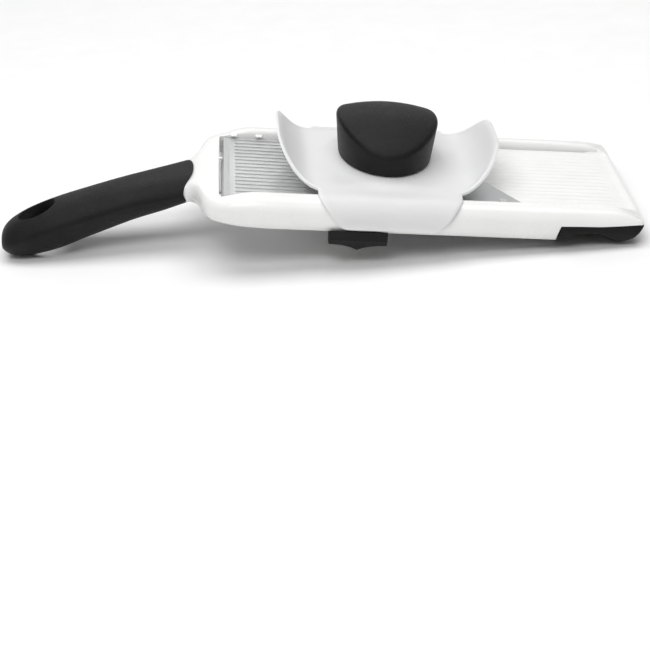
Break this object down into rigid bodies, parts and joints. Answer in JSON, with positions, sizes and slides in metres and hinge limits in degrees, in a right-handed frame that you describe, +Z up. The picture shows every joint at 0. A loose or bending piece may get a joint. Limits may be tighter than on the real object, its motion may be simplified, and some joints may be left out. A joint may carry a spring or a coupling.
{
  "type": "mandoline slicer",
  "caption": "Hand-held mandoline slicer with a hinged clear ramp, slanted steel blade, sliding hand guard, black soft handle and foot.",
  "frame": {"origin": "middle of the overall box, on the table the slicer rests on with its foot and the end of its handle", "axes": "+X along the slicer towards its foot, +Y across it towards the far rail, +Z up; the runway slopes 7.3 degrees down towards +X"},
  "size_m": [0.3428, 0.1196, 0.0682],
  "materials": {
    "white_plastic": "glossy moulded ABS, white",
    "landing_plastic": "ribbed moulded ABS, white",
    "clear_plastic": "clear polycarbonate, faintly smoky",
    "frosted_plastic": "frosted translucent polypropylene",
    "blade_steel": "satin stainless steel",
    "bright_steel": "plain stainless steel fasteners, rod, springs and pins",
    "soft_black": "matte soft-touch elastomer, black",
    "inner_black": "rigid black polypropylene",
    "acetal": "natural acetal, slightly waxy"
  },
  "bodies": {
    "frame": {"body_frame": "white_plastic", "landing_plate": "landing_plastic", "blade": "blade_steel", "blade_clamp": "bright_steel", "blade_screws": "bright_steel", "plate_screws": "bright_steel", "hinge_rod": "bright_steel", "ramp_springs": "bright_steel", "slide_guides": "acetal", "guide_screws": "bright_steel", "detent_spring": "bright_steel", "handle_core": "inner_black", "handle_grip": "soft_black", "handle_screws": "bright_steel", "front_foot": "soft_black"},
    "ramp": {"ramp": "clear_plastic"},
    "thickness_slide": {"slide_carriage": "acetal", "thumb_tab": "soft_black", "tab_screw": "bright_steel"},
    "guard": {"hand_guard": "frosted_plastic", "prong_plate": "frosted_plastic", "food_prongs": "bright_steel", "knob_core": "inner_black", "knob_grip": "soft_black", "knob_screws": "bright_steel"}
  },
  "joints": [
    {"name": "thickness_setting", "type": "slide", "parent": "frame", "child": "thickness_slide", "axis": [0.9919, 0, -0.1271], "range_m": [-0.006, 0.012]},
    {"name": "ramp_tilt", "type": "hinge", "parent": "frame", "child": "ramp", "pos_m": [-0.04629, 0, 0.03761], "axis": [0, 1, 0], "range_deg": [-0.85, 1.66]},
    {"name": "guard_travel", "type": "slide", "parent": "frame", "child": "guard", "axis": [0.9919, 0, -0.1271], "range_m": [-0.036, 0.074]}
  ],
  "couplings": [
    {"joint": "ramp_tilt", "follows": "thickness_setting", "rad_per_m": 2.3599}
  ]
}
